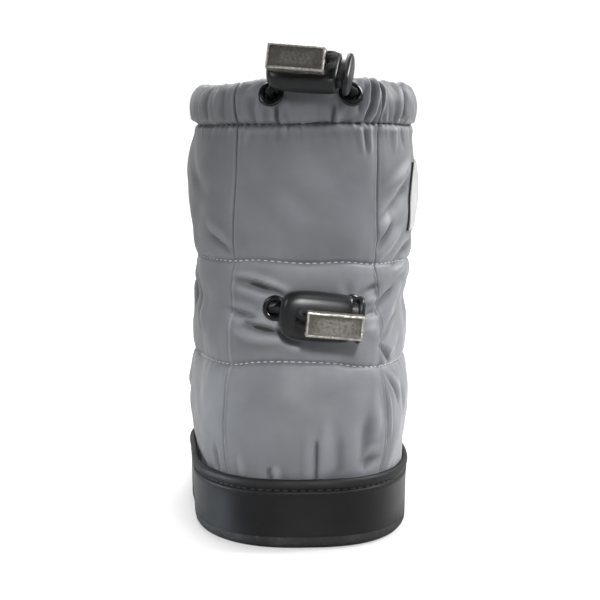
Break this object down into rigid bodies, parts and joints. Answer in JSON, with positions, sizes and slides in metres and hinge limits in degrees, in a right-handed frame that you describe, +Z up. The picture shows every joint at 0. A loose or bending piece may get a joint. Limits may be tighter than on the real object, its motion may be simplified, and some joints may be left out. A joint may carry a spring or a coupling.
{
  "type": "puffer bootie",
  "caption": "Toddler's padded winter bootie for the right foot: nylon upper with gathered collar and ankle drawcords, spring cord locks, metal beads and a black soft sole.",
  "frame": {"origin": "on the floor plane under the middle of the sole, on the outsole's flat underside", "axes": "+Y towards the toe, +X towards the outer side of the right foot, +Z up"},
  "size_m": [0.0919, 0.1781, 0.1924],
  "materials": {
    "grey_nylon": "satin woven nylon",
    "black_leatherette": "soft satin",
    "black_rubber": "matte",
    "grey_fleece": "napped",
    "white_label": "woven",
    "black_plastic": "satin",
    "black_metal": "satin black",
    "pewter": "antique nickel",
    "black_elastic": "braided"
  },
  "bodies": {
    "bootie": {"ankle_bead": "pewter", "ankle_cord_inner": "black_elastic", "ankle_cord_loop": "black_elastic", "ankle_cord_outer": "black_elastic", "ankle_eyelet_inner": "black_metal", "ankle_eyelet_outer": "black_metal", "ankle_lock_barrel": "black_plastic", "collar_bead": "pewter", "collar_cord_inner": "black_elastic", "collar_cord_loop": "black_elastic", "collar_cord_outer": "black_elastic", "collar_eyelet_inner": "black_metal", "collar_eyelet_outer": "black_metal", "collar_lock_barrel": "black_plastic", "insole": "grey_fleece", "outsole": "black_rubber", "rand": "black_leatherette", "side_label": "white_label", "upper": "grey_nylon"},
    "collar_plunger": {"collar_lock_plunger": "black_plastic"},
    "ankle_plunger": {"ankle_lock_plunger": "black_plastic"}
  },
  "joints": [
    {"name": "collar_plunger_press", "type": "slide", "parent": "bootie", "child": "collar_plunger", "axis": [-0.9756, 0.2043, 0.0809], "range_m": [0, 0.002], "stiffness_N_per_m": 600, "springref_m": -0.008},
    {"name": "ankle_plunger_press", "type": "slide", "parent": "bootie", "child": "ankle_plunger", "axis": [-0.9949, -0.033, 0.0958], "range_m": [0, 0.002], "stiffness_N_per_m": 600, "springref_m": -0.008}
  ]
}
